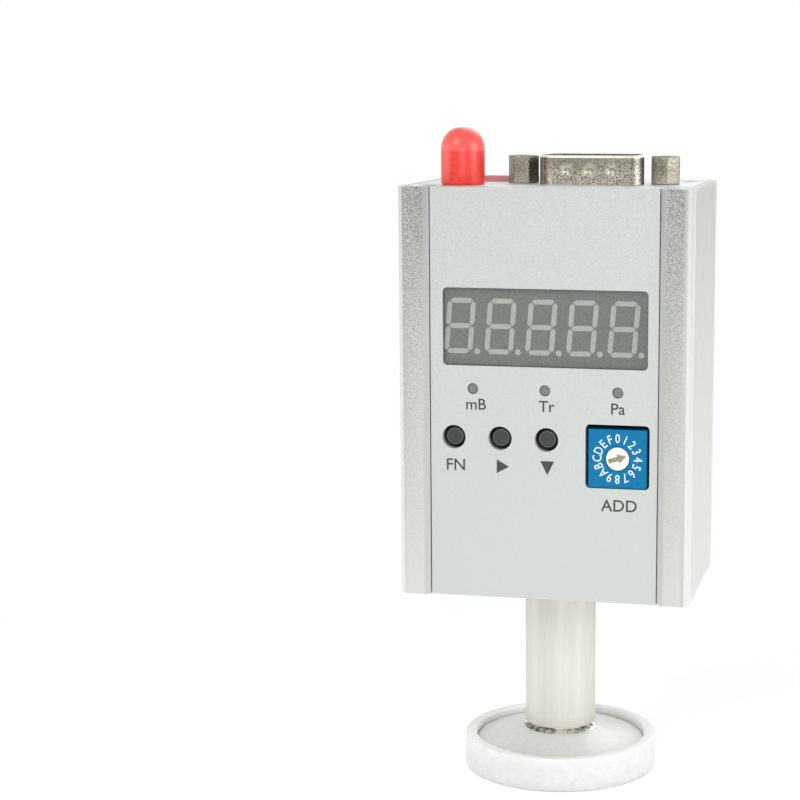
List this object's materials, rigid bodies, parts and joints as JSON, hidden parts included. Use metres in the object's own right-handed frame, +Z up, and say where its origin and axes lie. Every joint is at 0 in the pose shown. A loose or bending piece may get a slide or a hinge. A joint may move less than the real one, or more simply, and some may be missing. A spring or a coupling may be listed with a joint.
{
  "type": "pirani vacuum gauge",
  "caption": "Compact vacuum gauge: extruded housing with display, buttons and address dial, signal connector on top, sensor tube and clamp flange below.",
  "frame": {"origin": "on the sensor tube's axis, at the flat bottom of the flange's dust cap", "axes": "+X right seen from the front, the panel faces -Y, +Z up along the sensor tube"},
  "size_m": [0.0506, 0.035, 0.1148],
  "materials": {
    "blasted_aluminium": "fine blasted, clear anodised",
    "panel_silver": "satin silver",
    "screw_steel": "bright",
    "smoked_window": "smoked, gloss",
    "display_grey": "matte",
    "board_green": "satin",
    "button_black": "satin",
    "selector_blue": "satin",
    "dial_white": "satin",
    "lamp_grey": "clear, unlit",
    "nickel": "nickel plated, dull",
    "gold_pin": "gold flash",
    "cap_red": "soft gloss vinyl",
    "tube_steel": "polished stainless",
    "header_glass": "sealing glass",
    "dust_plastic": "translucent natural"
  },
  "bodies": {
    "gauge": {"housing": "blasted_aluminium", "front_panel": "panel_silver", "top_plate": "blasted_aluminium", "bottom_plate": "blasted_aluminium", "end_screws": "screw_steel", "display_window": "smoked_window", "display_module": "display_grey", "main_board": "board_green", "board_spacers": "nickel", "board_screws": "screw_steel", "button_switches": "button_black", "selector_body": "selector_blue", "unit_lamps": "lamp_grey", "dsub_shell": "nickel", "dsub_insert": "button_black", "dsub_pins": "gold_pin", "jackscrews": "nickel", "port_stem": "gold_pin", "port_nut": "nickel", "cap_strap": "cap_red", "sensor_tube": "tube_steel", "flange": "tube_steel", "tube_nut": "screw_steel", "sensor_header": "header_glass", "filament_posts": "nickel", "filament": "nickel"},
    "fn_button": {"button_fn": "button_black"},
    "right_button": {"button_right": "button_black"},
    "down_button": {"button_down": "button_black"},
    "address_dial": {"selector_dial": "dial_white"},
    "red_cap": {"port_cap": "cap_red"},
    "flange_cap": {"dust_cap": "dust_plastic"}
  },
  "joints": [
    {"name": "fn_press", "type": "slide", "parent": "gauge", "child": "fn_button", "axis": [0, 1, 0], "range_m": [0, 0.0004], "stiffness_N_per_m": 400},
    {"name": "right_press", "type": "slide", "parent": "gauge", "child": "right_button", "axis": [0, 1, 0], "range_m": [0, 0.0004], "stiffness_N_per_m": 400},
    {"name": "down_press", "type": "slide", "parent": "gauge", "child": "down_button", "axis": [0, 1, 0], "range_m": [0, 0.0004], "stiffness_N_per_m": 400},
    {"name": "dial_turn", "type": "hinge", "parent": "gauge", "child": "address_dial", "pos_m": [0.01279, -0.0166, 0.05957], "axis": [0, -1, 0], "continuous": true},
    {"name": "red_cap_pull", "type": "slide", "parent": "gauge", "child": "red_cap", "axis": [0, 0, 1], "range_m": [0, 0.012]},
    {"name": "dust_cap_pull", "type": "slide", "parent": "gauge", "child": "flange_cap", "axis": [0, 0, -1], "range_m": [0, 0.02]}
  ]
}
